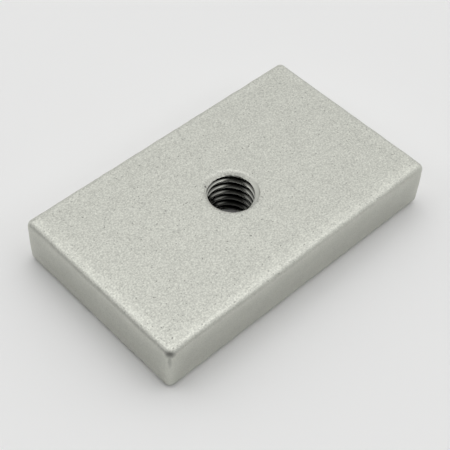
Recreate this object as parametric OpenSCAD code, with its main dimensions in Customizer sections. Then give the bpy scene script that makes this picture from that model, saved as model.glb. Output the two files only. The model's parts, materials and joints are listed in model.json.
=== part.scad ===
// Threaded backing plate: a solid metal bar cut to length, tumbled until every edge and corner
// is round, then drilled, countersunk from both faces and tapped right through its middle.
// The origin is at the middle of the face that the plate lies on, with the hole along Z.

/* [Plate] */
// Length of the plate, along X
plate_length = 50; // [30:0.5:120]
// Width of the plate, along Y
plate_width = 30; // [20:0.5:80]
// Thickness of the plate, along Z
plate_thickness = 8; // [5:0.25:16]
// Radius that tumbling leaves on every edge and corner
edge_radius = 1; // [0.25:0.05:2]

/* [Tapped hole] */
// Nominal diameter of the thread
thread_diameter = 8; // [4:0.5:12]
// Pitch of the thread
thread_pitch = 1.25; // [0.5:0.05:1.75]
// How much wider than the thread each countersink is at its face
countersink_margin = 0.1; // [0:0.05:2]
// Angle of the countersink's cone, measured across it
countersink_angle = 120; // [60:5:140]

/* [Hidden] */
$fn = 96;

// Tumbled bare metal
plate_colour = [0.76, 0.77, 0.73];

// The flat middle of the plate, inside its rounded rim
core_length = plate_length - 2 * edge_radius;
core_width = plate_width - 2 * edge_radius;

// A metric thread has flanks 60 degrees apart, and is as deep as five eighths of their full triangle
flank_triangle = thread_pitch * cos(30);
thread_depth = flank_triangle * 5 / 8;
minor_radius = thread_diameter / 2 - thread_depth;

// Each countersink runs from its face down to the thread's crests
countersink_radius = (thread_diameter + countersink_margin) / 2;
countersink_slope = tan(countersink_angle / 2);
countersink_depth = (countersink_radius - minor_radius) / countersink_slope;

// The hole's cutter runs past each face by this much, along the same cone
cut_overrun = 0.5;
cutter_mouth_radius = countersink_radius + cut_overrun * countersink_slope;

// Section of the rim, outwards from the flat middle: upright, with a round at its top and foot
module rim_section() {
    intersection() {
        square([edge_radius, plate_thickness]);
        union() {
            for (round_height = [edge_radius, plate_thickness - edge_radius])
                translate([0, round_height])
                    circle(edge_radius);
            translate([0, edge_radius])
                square([edge_radius, plate_thickness - 2 * edge_radius]);
        }
    }
}

// One straight stretch of the rim, centred on Y, with its outside towards +X
module rim_side(side_length) {
    translate([0, side_length / 2, 0])
        rotate([90, 0, 0])
            linear_extrude(side_length)
                rim_section();
}

// One corner of the rim: the same section turned through a quarter, from +X to +Y
module rim_corner() {
    rotate_extrude(angle = 90)
        rim_section();
}

// The solid plate before its hole is made
module rounded_plate() {
    translate([-core_length / 2, -core_width / 2, 0])
        cube([core_length, core_width, plate_thickness]);
    for (end = [0, 1]) {
        rotate([0, 0, 180 * end])
            translate([core_length / 2, 0, 0])
                rim_side(core_width);
        rotate([0, 0, 90 + 180 * end])
            translate([core_width / 2, 0, 0])
                rim_side(core_length);
        rotate([0, 0, 180 * end])
            translate([core_length / 2, core_width / 2, 0])
                rim_corner();
        rotate([0, 0, 180 * end])
            translate([-core_length / 2, core_width / 2, 0])
                rotate([0, 0, 90])
                    rim_corner();
    }
}

// What the drill and the countersinks take out: a straight bore between two cones
module hole_cutter() {
    rotate_extrude()
        polygon([
            [0, -cut_overrun],
            [cutter_mouth_radius, -cut_overrun],
            [minor_radius, countersink_depth],
            [minor_radius, plate_thickness - countersink_depth],
            [cutter_mouth_radius, plate_thickness + cut_overrun],
            [0, plate_thickness + cut_overrun],
        ]);
}

// The finished plate, with its bore at the thread's minor diameter
module backing_plate() {
    color(plate_colour)
        difference() {
            rounded_plate();
            hole_cutter();
        }
}

backing_plate();
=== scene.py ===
import json
import math

import bmesh
import bpy
from mathutils import Matrix, Vector, noise


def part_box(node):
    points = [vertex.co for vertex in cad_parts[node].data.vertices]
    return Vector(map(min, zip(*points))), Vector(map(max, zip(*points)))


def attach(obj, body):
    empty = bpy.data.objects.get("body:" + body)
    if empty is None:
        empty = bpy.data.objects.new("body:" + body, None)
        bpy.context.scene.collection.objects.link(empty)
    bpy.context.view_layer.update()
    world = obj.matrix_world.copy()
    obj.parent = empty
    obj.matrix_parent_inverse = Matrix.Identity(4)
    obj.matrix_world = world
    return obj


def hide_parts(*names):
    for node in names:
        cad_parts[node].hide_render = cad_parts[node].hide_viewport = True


# A threaded backing plate: tumbled metal with a tapped and countersunk hole, as one mesh with two finishes
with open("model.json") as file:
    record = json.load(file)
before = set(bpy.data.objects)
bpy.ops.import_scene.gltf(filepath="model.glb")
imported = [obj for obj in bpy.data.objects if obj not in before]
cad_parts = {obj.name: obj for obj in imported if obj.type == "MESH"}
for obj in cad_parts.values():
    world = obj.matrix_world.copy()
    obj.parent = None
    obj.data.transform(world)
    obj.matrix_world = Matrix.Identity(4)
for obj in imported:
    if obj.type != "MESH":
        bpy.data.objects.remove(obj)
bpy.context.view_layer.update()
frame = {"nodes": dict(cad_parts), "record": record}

MM = 0.001
NODE = "backing_plate"

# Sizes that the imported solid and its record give, where points this near the upper face's height are on it
FACE_TOLERANCE = 0.001 * MM
low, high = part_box(NODE)
thickness = high.z - low.z
plate_middle = (low + high) / 2
solid_points = [vertex.co for vertex in frame["nodes"][NODE].data.vertices]
top_points = [point for point in solid_points if high.z - point.z < FACE_TOLERANCE]
core_half_length = max(point.x for point in top_points)
core_half_width = max(point.y for point in top_points)
edge_radius = high.x - core_half_length
rim_radius = min(point.xy.length for point in top_points)
tapped_hole = next(mount for mount in frame["record"]["mounts"] if mount["name"] == "tapped_hole")
minor_radius = tapped_hole["dims"]["r_mm"] * MM
countersink_depth = (thickness - tapped_hole["dims"]["length_mm"] * MM) / 2
countersink_slope = (rim_radius - minor_radius) / countersink_depth
countersink_tilt = math.atan(1 / countersink_slope)

# The thread has a metric profile: its flanks lean from square to the axis, the surface turns by the rest of
# a right angle from a flat into a flank, and the depth is five eighths of the full triangle between flanks
PITCH = 1.25 * MM
FLANK_LEAN = math.radians(30)
FLANK_TURN = math.radians(60)
FLANK_TRIANGLE = PITCH * math.cos(FLANK_LEAN)
THREAD_DEPTH = FLANK_TRIANGLE * 5 / 8
# A crest keeps some of its flat, and the two rounds of a root take up all of it
CREST_FLAT = PITCH / 4
CREST_ROUND = 0.12 * MM
ROOT_FLAT = PITCH / 8
ROOT_ROUND = ROOT_FLAT / 2 / math.tan(FLANK_TURN / 2)
# Height of a crest on the hole's +X side
THREAD_START = -0.06 * MM
# Turns that run on below the lower face and above the upper one, where they shrink into the rims
TURNS_BELOW = 2
TURNS_ABOVE = 1

# How finely the plate's surface is divided
CORNER_STEPS = 12
SIDE_STEP = 0.5 * MM
EDGE_STEPS = 10
FACE_STEPS = 16
UPRIGHT_STEPS = 8
ROLL_STEPS = 8
RIM_STEPS = 3
CREST_STEPS = 3
FLANK_STEPS = 4
ROOT_STEPS = 2

# Points this close become one, and edges that bend by more than the angle are shaded as sharp
MERGE_DISTANCE = 0.0001 * MM
SHARP_ANGLE = math.radians(40)

# Tumbling leaves the faces a little uneven and the edges more so
UNEVEN_DEPTH = 0.02 * MM
UNEVEN_SPAN = 2.5 * MM
EDGE_UNEVENNESS = 5.0
# First share of the way from the hole to a face's edge, over which the face becomes uneven
EASE_SHARE = 1 / 3
# It also rolls the faces off towards their edges, and softens the hole's rim
ROLL_DEPTH = 0.08 * MM
ROLL_SPAN = 3.5 * MM
RIM_SOFTNESS = 1.0 * MM

# The metal
METAL_COLOUR = (0.543, 0.549, 0.501)
METAL_ROUGHNESS = 0.5
# Its grain, weak on the sides and full on the faces, which are told apart by the upright part of the normal
GRAIN_SPAN = 0.23 * MM
GRAIN_DETAIL = 2.0
GRAIN_CONTRAST = 1.0
SIDE_GRAIN = 0.35
GRAIN_LEANS = (0.5, 0.95)
# Its dark pits, which are where a noise is low
PIT_SPAN = 0.3 * MM
PIT_DETAIL = 1.0
PIT_LEVELS = (0.22, 0.34)
PIT_DARKNESS = 0.5
# Its broad and faint mottling
MOTTLE_SPAN = 2.5 * MM
MOTTLE_DETAIL = 2.0
MOTTLE_CONTRAST = 0.12
# The relief of its grain and pits
BUMP_STRENGTH = 0.3
BUMP_HEIGHT = 0.03 * MM
# Its brighter edges: wear from tumbling, and partly a painted highlight
WEAR_AND_HIGHLIGHT_SPAN = 3.0 * MM
WEAR_AND_HIGHLIGHT_BRIGHTNESS = 0.12

# The thread's material comes second on the plate, and turns from matte to smooth between these depths
THREAD_SLOT = 1
THREAD_ROUGHNESS = 0.12
MATTE_DEPTHS = (0.2 * MM, 0.6 * MM)
# Painted shade on it, which grows darker down the hole and lies in the roots
DEEP_PAINTED_SHADE = 0.75
DEEP_PAINTED_SHADE_DEPTHS = (0.4 * MM, 6.0 * MM)
ROOT_PAINTED_SHADE = 0.8
ROOT_PAINTED_SHADE_REACH = (0.05 * MM, 0.3 * MM)
ROOT_PAINTED_SHADE_DEPTHS = (0.4 * MM, 1.0 * MM)

# Dark marks: a scuff on the round of the corner nearest the camera, with a tail down that corner's
# upright edge, and a nick in the countersink; reaches are half widths along X, Y and Z
SCUFF_TILT = math.radians(58)
SCUFF_REACH = Vector((1.1, 1.1, 0.8)) * MM
SCUFF_DARKNESS = 0.38
TAIL_DROP = 0.5 * MM
TAIL_REACH = Vector((0.36, 0.36, 2.4)) * MM
TAIL_DARKNESS = 0.27
NICK_ANGLE = math.radians(124)
NICK_RADIUS = 3.8 * MM
NICK_REACH = Vector((0.26, 0.26, 0.4)) * MM
NICK_DARKNESS = 0.7
MARK_FADE = (0.2, 1.0)

# The floor
FLOOR_SIZE = 6.0
FLOOR_COLOUR = (0.9, 0.9, 0.895, 1.0)
FLOOR_ROUGHNESS = 0.9

# The dome of white light: its strength at the horizon and overhead, and how late it rises between them
LIGHT_COLOUR = (1.0, 1.0, 1.0, 1.0)
DOME_LOW = 0.78
DOME_HIGH = 2.25
DOME_POWER = 6.0
# The dome is dark on the camera's side, where its level is a share of that strength, and it darkens
# between two limits of a ray's part towards that side's azimuth
FRONT_AZIMUTH = -52.0
FRONT_LIMITS = (0.14, 0.29)
FRONT_LEVEL = 0.02
# A strip of light crosses the dark side, dimmer in its middle; its foot and top are a ray's upright part
STRIP_FOOT = (0.5, 0.6)
STRIP_TOP = (0.7, 0.78)
STRIP_LEVEL = 2.2
STRIP_MIDDLE = (0.4, 0.6)
STRIP_MIDDLE_LEVEL = 0.35
# A pale backdrop, with a strength of its own, runs along the foot of the dark side
BACKDROP_LEVEL = 0.5
BACKDROP_TOP = (0.14, 0.16)

# The photograph's camera: its angles in degrees and its distance from the plate's middle, how far it is
# moved to its right and upwards from facing that middle, its lens, and the nearest and farthest it sees
CAMERA_AZIMUTH = -46.11
CAMERA_ELEVATION = 49.877
CAMERA_ROLL = 3.521
CAMERA_DISTANCE = 160.469 * MM
CAMERA_RIGHT = -0.767 * MM
CAMERA_UP = -2.203 * MM
FOCAL_PIXELS = 1114.795
PICTURE_PIXELS = 450
SENSOR_WIDTH = 36.0
CLIP_START = 10 * MM
CLIP_END = 100.0


def outline_columns():
    """Core point and outward direction of each column of the mesh, anticlockwise from +X, +Y."""
    signs = [(1, 1), (-1, 1), (-1, -1), (1, -1)]
    centres = [Vector((x * core_half_length, y * core_half_width)) for x, y in signs]
    columns = []
    for index, centre in enumerate(centres):
        for step in range(CORNER_STEPS + 1):
            angle = math.radians(90 * (index + step / CORNER_STEPS))
            columns.append((centre, Vector((math.cos(angle), math.sin(angle)))))
        outward = columns[-1][1]
        following = centres[(index + 1) % len(centres)]
        side_steps = round((following - centre).length / SIDE_STEP)
        for step in range(1, side_steps):
            columns.append((centre.lerp(following, step / side_steps), outward))
    return columns


COLUMNS = outline_columns()
COLUMN_COUNT = len(COLUMNS)
# The middle of the +X side, half a side before the first column, is at angle 0 of the hole
FIRST_COLUMN_SHARE = round(core_half_width / SIDE_STEP) / COLUMN_COUNT
ANGLES = [math.tau * (index / COLUMN_COUNT + FIRST_COLUMN_SHARE) for index in range(COLUMN_COUNT)]


def around_hole(radius, height, angle):
    """A point at a radius, a height and an angle round the hole's axis."""
    return Vector((radius * math.cos(angle), radius * math.sin(angle), height))


def uneven(point, normal, share):
    """The point moved a little into the plate, by a share of a smooth noise."""
    depth = UNEVEN_DEPTH * (0.5 + 0.5 * noise.noise(point / UNEVEN_SPAN))
    return point - normal * depth * share


def edge_share(nearness):
    """How uneven the surface is by its nearness to an edge: 1 away from edges, and most at one."""
    return 1 + (EDGE_UNEVENNESS - 1) * nearness ** 2


def roll_drop(from_side):
    """How far the face has rolled off at a distance from the plate's upright side."""
    return ROLL_DEPTH * max(0.0, 1 - from_side / ROLL_SPAN) ** 2


def rim_arc(tilt):
    """Radius and depth on the countersink's softened rim, where the surface leans by this angle."""
    radius = rim_radius + RIM_SOFTNESS * (math.tan(countersink_tilt / 2) - math.sin(tilt))
    return radius, RIM_SOFTNESS * (1 - math.cos(tilt))


# Where the rim leaves the face, where the outside meets the hole's wall, and where the cone begins
FACE_RADIUS, _ = rim_arc(0)
_, SEAM_DEPTH = rim_arc(countersink_tilt / 2)
CONE_TOP_RADIUS, CONE_TOP_DEPTH = rim_arc(countersink_tilt)


def inset_outline(core, inset):
    """The point of a column on the plate's straight outline, moved in from it by the inset."""
    return Vector((core.x * (1 - inset / core_half_length), core.y * (1 - inset / core_half_width), 0))


def rim_loops(height, inwards):
    """Loops of the hole's softened rim, from its seam with the hole's wall out to the face."""
    loops = []
    for step in range(RIM_STEPS):
        radius, depth = rim_arc(countersink_tilt / 2 * (1 - step / RIM_STEPS))
        loops.append([around_hole(radius, height + inwards * depth, angle) for angle in ANGLES])
    return loops


def face_loops(height, inwards):
    """Loops of a face, from the hole's softened rim to the line where the rounded edge begins."""
    normal = Vector((0, 0, -inwards))
    roll_start = ROLL_SPAN - edge_radius
    loops = []
    for step in range(FACE_STEPS):
        share = step / FACE_STEPS
        loop = []
        for (core, _), angle in zip(COLUMNS, ANGLES):
            start = around_hole(FACE_RADIUS, 0, angle)
            point = start.lerp(inset_outline(core, roll_start), share) + Vector((0, 0, height))
            loop.append(uneven(point, normal, min(1.0, share / EASE_SHARE)))
        loops.append(loop)
    for step in range(ROLL_STEPS):
        inset = roll_start * (1 - step / ROLL_STEPS)
        offset = Vector((0, 0, height + inwards * roll_drop(inset + edge_radius)))
        share = edge_share(step / ROLL_STEPS)
        loops.append([uneven(inset_outline(core, inset) + offset, normal, share) for core, _ in COLUMNS])
    return loops


def edge_loop(height, inwards, turn):
    """One loop of a rounded edge, where the surface has turned from the face by this angle."""
    reach = edge_radius * math.sin(turn)
    drop = edge_radius * (1 - math.cos(turn)) + roll_drop(edge_radius - reach)
    loop = []
    for core, outward in COLUMNS:
        normal = outward.to_3d() * math.sin(turn) - Vector((0, 0, inwards * math.cos(turn)))
        point = (core + outward * reach).to_3d() + Vector((0, 0, height + inwards * drop))
        loop.append(uneven(point, normal, EDGE_UNEVENNESS))
    return loop


def half_shell(height, inwards):
    """Loops of a face and its rounded edge, from the hole's rim outwards; inwards is down or up, -1 or 1."""
    turns = [math.radians(90 * step / EDGE_STEPS) for step in range(EDGE_STEPS + 1)]
    edge_loops = [edge_loop(height, inwards, turn) for turn in turns]
    return rim_loops(height, inwards) + face_loops(height, inwards) + edge_loops


def side_loops():
    """Loops of the upright side, between the rounds of its top and bottom edges."""
    straight = thickness - 2 * (edge_radius + ROLL_DEPTH)
    loops = []
    for step in range(1, UPRIGHT_STEPS):
        level = high.z - edge_radius - ROLL_DEPTH - straight * step / UPRIGHT_STEPS
        share = edge_share(abs(1 - 2 * step / UPRIGHT_STEPS))
        loop = []
        for core, outward in COLUMNS:
            point = (core + outward * edge_radius).to_3d() + Vector((0, 0, level))
            loop.append(uneven(point, outward.to_3d(), share))
        loops.append(loop)
    return loops


def shell_loops():
    """Every loop of the outside, from the hole's upper rim over the edge to its lower rim."""
    return half_shell(high.z, -1) + side_loops() + half_shell(low.z, 1)[::-1]


def half_profile():
    """Height above a crest's middle and radius of each row of the thread, up to the root's middle."""
    crest_half_flat = CREST_FLAT / 2 - CREST_ROUND * math.tan(FLANK_TURN / 2)
    crest = [(0.0, minor_radius)]
    for step in range(CREST_STEPS + 1):
        turn = FLANK_TURN * step / CREST_STEPS
        height = crest_half_flat + CREST_ROUND * math.sin(turn)
        crest.append((height, minor_radius + CREST_ROUND * (1 - math.cos(turn))))
    major_radius = minor_radius + THREAD_DEPTH
    root = []
    for step in range(ROOT_STEPS + 1):
        turn = FLANK_TURN * (1 - step / ROOT_STEPS)
        height = PITCH / 2 - ROOT_ROUND * math.sin(turn)
        root.append((height, major_radius - ROOT_ROUND * (1 - math.cos(turn))))
    crest_end = Vector(crest[-1])
    root_start = Vector(root[0])
    flank = [tuple(crest_end.lerp(root_start, step / FLANK_STEPS)) for step in range(1, FLANK_STEPS)]
    return crest + flank + root


def whole_profile():
    """The same for one whole turn of the thread, from one crest's middle to just below the next one's."""
    rising = half_profile()
    falling = [(PITCH - height, radius) for height, radius in rising[-2:0:-1]]
    return rising + falling


THREAD_PROFILE = whole_profile()
ROWS_PER_PITCH = len(THREAD_PROFILE)


def countersink_radius(depth):
    """Radius of the countersink and its softened rim at a depth below the nearer face."""
    if depth > CONE_TOP_DEPTH:
        return CONE_TOP_RADIUS - (depth - CONE_TOP_DEPTH) * countersink_slope
    fall = RIM_SOFTNESS - depth
    return FACE_RADIUS - math.sqrt(RIM_SOFTNESS ** 2 - fall ** 2)


def hole_point(row, angle):
    """A point of the hole's wall, and whether it is on the countersink rather than the thread."""
    turn, step = divmod(row, ROWS_PER_PITCH)
    rise, thread = THREAD_PROFILE[step]
    height = THREAD_START + rise + PITCH * (turn + angle / math.tau)
    height = min(high.z - SEAM_DEPTH, max(low.z + SEAM_DEPTH, height))
    countersink = countersink_radius(min(high.z - height, height - low.z))
    return around_hole(max(thread, countersink), height, angle), countersink >= thread


def add_shell(mesh):
    """The outside of the plate, as a band of faces between each loop and the next."""
    loops = [[mesh.verts.new(point) for point in loop] for loop in shell_loops()]
    for inner, outer in zip(loops, loops[1:]):
        for here in range(COLUMN_COUNT):
            there = (here + 1) % COLUMN_COUNT
            mesh.faces.new((inner[here], outer[here], outer[there], inner[there]))


def add_hole_wall(mesh):
    """The hole's wall, in rows that climb with the thread and end at the two rims."""
    first_row = -TURNS_BELOW * ROWS_PER_PITCH
    last_row = math.ceil(thickness / PITCH + TURNS_ABOVE) * ROWS_PER_PITCH
    columns = []
    for angle in ANGLES:
        points = [hole_point(row, angle) for row in range(first_row, last_row + 1)]
        columns.append([(mesh.verts.new(point), countersunk) for point, countersunk in points])
    for here, left in enumerate(columns):
        wraps = here + 1 == COLUMN_COUNT
        right = columns[0] if wraps else columns[here + 1]
        shift = ROWS_PER_PITCH if wraps else 0
        for row in range(len(left) - 1 - shift):
            corners = (left[row], right[row + shift], right[row + shift + 1], left[row + 1])
            face = mesh.faces.new([vertex for vertex, _ in corners])
            if not all(countersunk for _, countersunk in corners):
                face.material_index = THREAD_SLOT


def add_object(name, data):
    """A new object in the scene."""
    made = bpy.data.objects.new(name, data)
    bpy.context.scene.collection.objects.link(made)
    return made


def make_plate():
    """The plate as one closed mesh."""
    mesh = bmesh.new()
    add_shell(mesh)
    add_hole_wall(mesh)
    bmesh.ops.remove_doubles(mesh, verts=mesh.verts, dist=MERGE_DISTANCE)
    bmesh.ops.recalc_face_normals(mesh, faces=mesh.faces)
    data = bpy.data.meshes.new("plate")
    mesh.to_mesh(data)
    mesh.free()
    data.shade_smooth()
    data.set_sharp_from_angle(angle=SHARP_ANGLE)
    return add_object("plate", data)


def set_inputs(tree, node, inputs):
    """Sets a node's inputs to values, or links them to other nodes' outputs."""
    for name, value in inputs.items():
        if isinstance(value, bpy.types.NodeSocket):
            tree.links.new(value, node.inputs[name])
        else:
            node.inputs[name].default_value = value


def add_node(tree, kind, inputs=(), **settings):
    """A new node with its inputs and settings."""
    made = tree.nodes.new(kind)
    for name, value in settings.items():
        setattr(made, name, value)
    set_inputs(tree, made, dict(inputs))
    return made


def new_material(name):
    """A new material, its node tree and its shader."""
    material = bpy.data.materials.new(name)
    material.use_nodes = True
    return material, material.node_tree, material.node_tree.nodes["Principled BSDF"]


def calculate(tree, operation, *values):
    """A sum with numbers."""
    return add_node(tree, "ShaderNodeMath", enumerate(values), operation=operation).outputs["Value"]


def vector_math(tree, operation, *values):
    """A sum with vectors, of which a length or a dot product comes out as a number."""
    made = add_node(tree, "ShaderNodeVectorMath", enumerate(values), operation=operation)
    return made.outputs["Value" if operation in ("LENGTH", "DOT_PRODUCT") else "Vector"]


def ramp(tree, value, from_range, to_range):
    """A smooth step of the value from one range to the other."""
    inputs = {
        "Value": value,
        "From Min": from_range[0],
        "From Max": from_range[1],
        "To Min": to_range[0],
        "To Max": to_range[1],
    }
    return add_node(tree, "ShaderNodeMapRange", inputs, interpolation_type="SMOOTHSTEP").outputs["Result"]


def noise_value(tree, place, span, detail):
    """Noise between 0 and 1, with blotches about as wide as the span."""
    inputs = {"Vector": place, "Scale": 1 / span, "Detail": detail}
    return add_node(tree, "ShaderNodeTexNoise", inputs).outputs["Fac"]


def noise_swing(tree, place, span, detail, contrast):
    """The same noise as a swing to both sides of 0, as wide in all as the contrast."""
    centred = calculate(tree, "SUBTRACT", noise_value(tree, place, span, detail), 0.5)
    return calculate(tree, "MULTIPLY", centred, contrast)


def edge_distance(tree, place):
    """Distance along the surface from the nearest outer edge.

    It is the middle one of the distances to the three pairs of sides, because the least of them is to
    the side that the surface is on.
    """
    folded = vector_math(tree, "ABSOLUTE", vector_math(tree, "SUBTRACT", place, plate_middle))
    inside = vector_math(tree, "SUBTRACT", high - plate_middle, folded)
    x, y, z = add_node(tree, "ShaderNodeSeparateXYZ", {"Vector": inside}).outputs
    smaller = calculate(tree, "MINIMUM", x, y)
    larger = calculate(tree, "MAXIMUM", x, y)
    return calculate(tree, "MAXIMUM", smaller, calculate(tree, "MINIMUM", larger, z))


def axis_distance(tree, place):
    """Distance from the hole's axis."""
    return vector_math(tree, "LENGTH", vector_math(tree, "MULTIPLY", place, (1.0, 1.0, 0.0)))


def dark_marks():
    """Middle, reach and darkness of each mark on the plate."""
    corner = Vector((-core_half_length, -core_half_width, high.z - edge_radius))
    outward = Vector((-1, -1, 0)).normalized() * edge_radius
    upward = Vector((0, 0, edge_radius))
    scuff = corner + outward * math.sin(SCUFF_TILT) + upward * math.cos(SCUFF_TILT)
    tail = corner + outward - Vector((0, 0, TAIL_DROP))
    nick_depth = (rim_radius - NICK_RADIUS) / countersink_slope
    nick = around_hole(NICK_RADIUS, high.z - nick_depth, NICK_ANGLE)
    return [
        (scuff, SCUFF_REACH, SCUFF_DARKNESS),
        (tail, TAIL_REACH, TAIL_DARKNESS),
        (nick, NICK_REACH, NICK_DARKNESS),
    ]


def mark_shade(tree, place):
    """How much the marks darken the metal, from 0 where there is none."""
    shade = 0.0
    for middle, reach, darkness in dark_marks():
        offset = vector_math(tree, "SUBTRACT", place, middle)
        share = vector_math(tree, "LENGTH", vector_math(tree, "DIVIDE", offset, reach))
        shade = calculate(tree, "MAXIMUM", shade, ramp(tree, share, MARK_FADE, (darkness, 0.0)))
    return shade


def shaded_metal(tree, brightness):
    """The metal's colour at a brightness, where 1 is the colour itself."""
    inputs = {0: METAL_COLOUR, "Scale": brightness}
    return add_node(tree, "ShaderNodeVectorMath", inputs, operation="SCALE").outputs["Vector"]


def tumbled_metal():
    """Bare metal, blasted matte and tumbled: fine grain, a few dark pits, worn edges with a painted
    highlight, and dark marks.
    """
    material, tree, shader = new_material("tumbled_metal")
    coordinates = add_node(tree, "ShaderNodeTexCoord").outputs
    place = coordinates["Object"]
    upright = add_node(tree, "ShaderNodeSeparateXYZ", {"Vector": coordinates["Normal"]}).outputs["Z"]
    coarseness = ramp(tree, calculate(tree, "ABSOLUTE", upright), GRAIN_LEANS, (SIDE_GRAIN, 1.0))
    grain = noise_swing(tree, place, GRAIN_SPAN, GRAIN_DETAIL, GRAIN_CONTRAST)
    pits = ramp(tree, noise_value(tree, place, PIT_SPAN, PIT_DETAIL), PIT_LEVELS, (PIT_DARKNESS, 0.0))
    texture = calculate(tree, "MULTIPLY", calculate(tree, "SUBTRACT", grain, pits), coarseness)
    mottle = noise_swing(tree, place, MOTTLE_SPAN, MOTTLE_DETAIL, MOTTLE_CONTRAST)
    # Brighter towards the edges: wear, partly a painted highlight
    wear_and_highlight = ramp(tree, edge_distance(tree, place), (0.0, WEAR_AND_HIGHLIGHT_SPAN), (WEAR_AND_HIGHLIGHT_BRIGHTNESS, 0.0))
    brightness = 1.0
    for change in (texture, mottle, wear_and_highlight):
        brightness = calculate(tree, "ADD", brightness, change)
    unmarked = calculate(tree, "SUBTRACT", 1.0, mark_shade(tree, place))
    colour = shaded_metal(tree, calculate(tree, "MULTIPLY", brightness, unmarked))
    relief = {"Height": texture, "Strength": BUMP_STRENGTH, "Distance": BUMP_HEIGHT}
    normal = add_node(tree, "ShaderNodeBump", relief).outputs["Normal"]
    looks = {"Metallic": 1.0, "Roughness": METAL_ROUGHNESS, "Base Color": colour, "Normal": normal}
    set_inputs(tree, shader, looks)
    return material


def cut_thread():
    """Metal as the tap left it: smoother than the outside, with painted shade that darkens it down the hole
    and in its roots.
    """
    material, tree, shader = new_material("cut_thread")
    place = add_node(tree, "ShaderNodeTexCoord").outputs["Object"]
    height = add_node(tree, "ShaderNodeSeparateXYZ", {"Vector": place}).outputs["Z"]
    depth = calculate(tree, "SUBTRACT", high.z, height)
    # Painted shade: darker further down the hole
    deep_shade = ramp(tree, depth, DEEP_PAINTED_SHADE_DEPTHS, (0.0, DEEP_PAINTED_SHADE))
    # Painted shade in the thread's roots, from a little below the rim
    reach = calculate(tree, "SUBTRACT", axis_distance(tree, place), minor_radius)
    in_root = ramp(tree, reach, ROOT_PAINTED_SHADE_REACH, (0.0, ROOT_PAINTED_SHADE))
    below_rim = ramp(tree, depth, ROOT_PAINTED_SHADE_DEPTHS, (0.0, 1.0))
    root_shade = calculate(tree, "MULTIPLY", in_root, below_rim)
    brightness = 1.0
    for painted_shade in (deep_shade, root_shade):
        clean = calculate(tree, "SUBTRACT", 1.0, painted_shade)
        brightness = calculate(tree, "MULTIPLY", brightness, clean)
    roughness = ramp(tree, depth, MATTE_DEPTHS, (METAL_ROUGHNESS, THREAD_ROUGHNESS))
    colour = shaded_metal(tree, brightness)
    set_inputs(tree, shader, {"Metallic": 1.0, "Roughness": roughness, "Base Color": colour})
    return material


def direction(azimuth, elevation):
    """Unit vector towards an azimuth, in degrees round from -Y to +X, and an elevation."""
    turn = math.radians(azimuth)
    rise = math.radians(elevation)
    return Vector((math.sin(turn) * math.cos(rise), -math.cos(turn) * math.cos(rise), math.sin(rise)))


def add_camera():
    """The photograph's camera."""
    back = direction(CAMERA_AZIMUTH, CAMERA_ELEVATION)
    level = direction(CAMERA_AZIMUTH + 90, 0)
    right = Matrix.Rotation(math.radians(CAMERA_ROLL), 3, back) @ level
    up = back.cross(right)
    place = plate_middle + back * CAMERA_DISTANCE + right * CAMERA_RIGHT + up * CAMERA_UP
    data = bpy.data.cameras.new("camera")
    data.sensor_width = SENSOR_WIDTH
    data.lens = FOCAL_PIXELS / PICTURE_PIXELS * SENSOR_WIDTH
    data.clip_start = CLIP_START
    data.clip_end = CLIP_END
    camera = add_object("camera", data)
    camera.matrix_world = Matrix.Translation(place) @ Matrix((right, up, back)).transposed().to_4x4()
    bpy.context.scene.camera = camera


def add_floor():
    """The pale floor that the plate lies on."""
    half = FLOOR_SIZE / 2
    corners = [(-half, -half, 0), (half, -half, 0), (half, half, 0), (-half, half, 0)]
    data = bpy.data.meshes.new("floor")
    data.from_pydata(corners, [], [(0, 1, 2, 3)])
    material, tree, shader = new_material("pale_floor")
    set_inputs(tree, shader, {"Base Color": FLOOR_COLOUR, "Roughness": FLOOR_ROUGHNESS})
    data.materials.append(material)
    floor = add_object("floor", data)


def set_world():
    """A dome of soft light, strongest overhead and dark on the camera's side.

    A strip of light crosses the dark side, and a pale backdrop runs along its foot.
    """
    world = bpy.data.worlds.new("studio")
    world.use_nodes = True
    tree = world.node_tree
    ray = add_node(tree, "ShaderNodeTexCoord").outputs["Generated"]
    rise = add_node(tree, "ShaderNodeSeparateXYZ", {"Vector": ray}).outputs["Z"]
    late_rise = calculate(tree, "POWER", rise, DOME_POWER)
    levels = {"Value": late_rise, "To Min": DOME_LOW, "To Max": DOME_HIGH}
    open_dome = add_node(tree, "ShaderNodeMapRange", levels).outputs["Result"]
    front = vector_math(tree, "DOT_PRODUCT", ray, direction(FRONT_AZIMUTH, 0))
    dark = 1.0 - FRONT_LEVEL
    lit = 1.0 - STRIP_LEVEL
    dimmed = 1.0 - STRIP_MIDDLE_LEVEL
    shade = ramp(tree, front, STRIP_MIDDLE, (lit, dimmed))
    for limits, shades in ((STRIP_FOOT, (dark, lit)), (STRIP_TOP, (lit, dark))):
        shade = calculate(tree, "MAXIMUM", shade, ramp(tree, rise, limits, shades))
    front_shade = calculate(tree, "MULTIPLY", shade, ramp(tree, front, FRONT_LIMITS, (0.0, 1.0)))
    dome = calculate(tree, "MULTIPLY", open_dome, calculate(tree, "SUBTRACT", 1.0, front_shade))
    backdrop = ramp(tree, rise, BACKDROP_TOP, (BACKDROP_LEVEL, 0.0))
    strength = calculate(tree, "MAXIMUM", dome, backdrop)
    set_inputs(tree, tree.nodes["Background"], {"Color": LIGHT_COLOUR, "Strength": strength})
    bpy.context.scene.world = world


plate = make_plate()
plate.data.materials.append(tumbled_metal())
plate.data.materials.append(cut_thread())
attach(plate, "root")
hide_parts(NODE)

add_camera()
add_floor()
set_world()
bpy.context.scene.view_settings.view_transform = "Standard"
